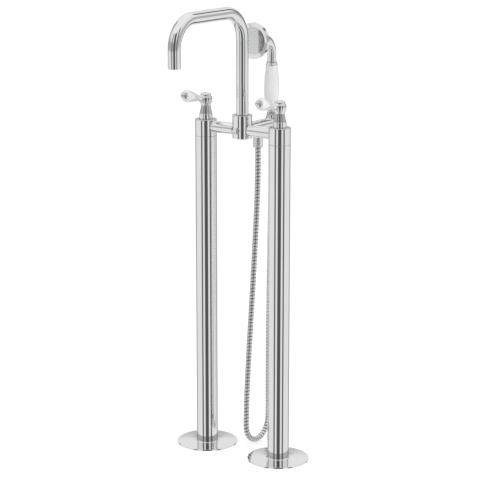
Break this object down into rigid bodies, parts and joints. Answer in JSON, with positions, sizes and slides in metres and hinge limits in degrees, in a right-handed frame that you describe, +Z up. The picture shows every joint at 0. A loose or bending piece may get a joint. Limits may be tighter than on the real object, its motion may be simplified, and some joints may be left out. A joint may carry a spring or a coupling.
{
  "type": "floor standing bath filler",
  "caption": "Chrome floor standing bath filler with porcelain quarter-turn levers, a squared swan-neck spout and a hand shower on a metal hose.",
  "frame": {"origin": "on the floor, midway between the two legs' axes, at the centre of the floor screw holes", "axes": "+Z up; X along the bridge from the left leg to the right; the spout reaches towards -Y"},
  "size_m": [0.35, 0.4017, 1.0561],
  "materials": {
    "chrome": "polished chrome plating on brass",
    "brass": "machined, unplated",
    "copper": "drawn tube",
    "steel": "zinc plated",
    "porcelain": "glazed white porcelain",
    "ceramic": "lapped alumina",
    "rubber": "moulded",
    "grey_plastic": "moulded",
    "aerator": "moulded",
    "rose_plate": "polished, pierced",
    "hose_steel": "interlocked metal strip"
  },
  "bodies": {
    "stand": {"bridge_seals": "rubber", "check_valve": "grey_plastic", "cradle": "chrome", "diverter_gland": "brass", "fixed_discs": "ceramic", "grub_screws": "steel", "hose_nut": "chrome", "hose_outlet": "chrome", "hub": "chrome", "left_bonnet": "chrome", "left_bridge": "chrome", "left_cartridge": "brass", "left_flange": "chrome", "left_foot": "steel", "left_inlet": "brass", "left_leg": "chrome", "left_riser": "copper", "left_valve": "chrome", "leg_seals": "rubber", "rear_arm": "chrome", "right_bonnet": "chrome", "right_bridge": "chrome", "right_cartridge": "brass", "right_flange": "chrome", "right_foot": "steel", "right_inlet": "brass", "right_leg": "chrome", "right_riser": "copper", "right_valve": "chrome", "shower_hose": "hose_steel", "union_nuts": "brass"},
    "left_lever": {"left_spindle": "brass", "left_lever_hub": "chrome", "left_lever_screw": "steel", "left_index_cap": "chrome", "left_lever_collar": "chrome", "left_lever_grip": "porcelain", "left_lever_rod": "steel", "left_lever_end": "chrome"},
    "right_lever": {"right_spindle": "brass", "right_lever_hub": "chrome", "right_lever_screw": "steel", "right_index_cap": "chrome", "right_lever_collar": "chrome", "right_lever_grip": "porcelain", "right_lever_rod": "steel", "right_lever_end": "chrome"},
    "spout": {"spout": "chrome", "spout_seals": "rubber", "aerator": "aerator"},
    "diverter": {"diverter_knob": "chrome", "diverter_stem": "brass"},
    "handset": {"hose_cone": "chrome", "handset_ferrule": "chrome", "handset_handle": "porcelain", "water_tube": "steel", "handset_collar": "chrome", "handset_neck": "chrome", "handset_rose": "chrome", "rose_plate": "rose_plate"}
  },
  "joints": [
    {"name": "left_lever_turn", "type": "hinge", "parent": "stand", "child": "left_lever", "pos_m": [-0.103, 0, 0.832], "axis": [0, 0, 1], "range_deg": [-90, 0]},
    {"name": "right_lever_turn", "type": "hinge", "parent": "stand", "child": "right_lever", "pos_m": [0.103, 0, 0.832], "axis": [0, 0, 1], "range_deg": [0, 90]},
    {"name": "spout_swivel", "type": "hinge", "parent": "stand", "child": "spout", "pos_m": [0, 0, 0.807], "axis": [0, 0, 1], "range_deg": [-90, 90]},
    {"name": "diverter_pull", "type": "slide", "parent": "stand", "child": "diverter", "axis": [0, -1, 0], "range_m": [0, 0.008]},
    {"name": "handset_lift", "type": "slide", "parent": "stand", "child": "handset", "axis": [0, 0, 1], "range_m": [0, 0.1], "deforming": ["shower_hose"]}
  ]
}
